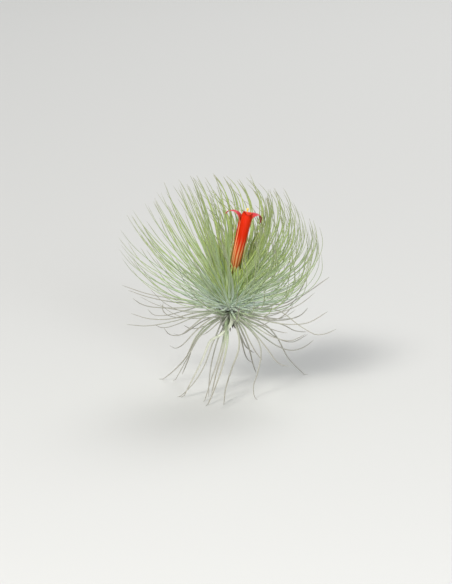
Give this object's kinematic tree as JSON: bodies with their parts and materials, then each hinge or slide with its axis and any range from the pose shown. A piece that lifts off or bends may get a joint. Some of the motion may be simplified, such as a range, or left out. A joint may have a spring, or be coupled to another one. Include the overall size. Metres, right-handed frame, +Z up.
{
  "type": "andreana air plant",
  "caption": "Ball of wiry, tapering leaves round one upright, leaning, tubular red flower; drooping dry leaves below, on whose tips the plant stands.",
  "frame": {"origin": "on the surface that the plant stands on, under the middle of its bounding box", "axes": "+Z up; +X to the right and -Y towards the viewer, as in the picture; the flower leans to +X"},
  "size_m": [0.1512, 0.1572, 0.1541],
  "materials": {
    "old_leaf": "dry, matt, silvery grey-beige",
    "outer_leaf": "matt grey bloom over blue-green, paler at the root",
    "heart_leaf": "satin, yellow-green, paler at the root, grey at the tip",
    "green_flower_parts": "satin, thin and green",
    "petal": "satin vermilion, paler veins low down, pinkish rolled tips",
    "pollen_yellow": "matt yellow"
  },
  "bodies": {
    "root": {"old_leaves": "old_leaf", "outer_leaves": "outer_leaf", "heart_leaves": "heart_leaf", "flower_stalk": "green_flower_parts", "petal_left": "petal", "petal_right": "petal", "petal_front": "petal", "sepal_1": "green_flower_parts", "sepal_2": "green_flower_parts", "sepal_3": "green_flower_parts", "bract_1": "green_flower_parts", "bract_2": "green_flower_parts", "stamens": "pollen_yellow", "pistil": "pollen_yellow"}
  },
  "joints": []
}
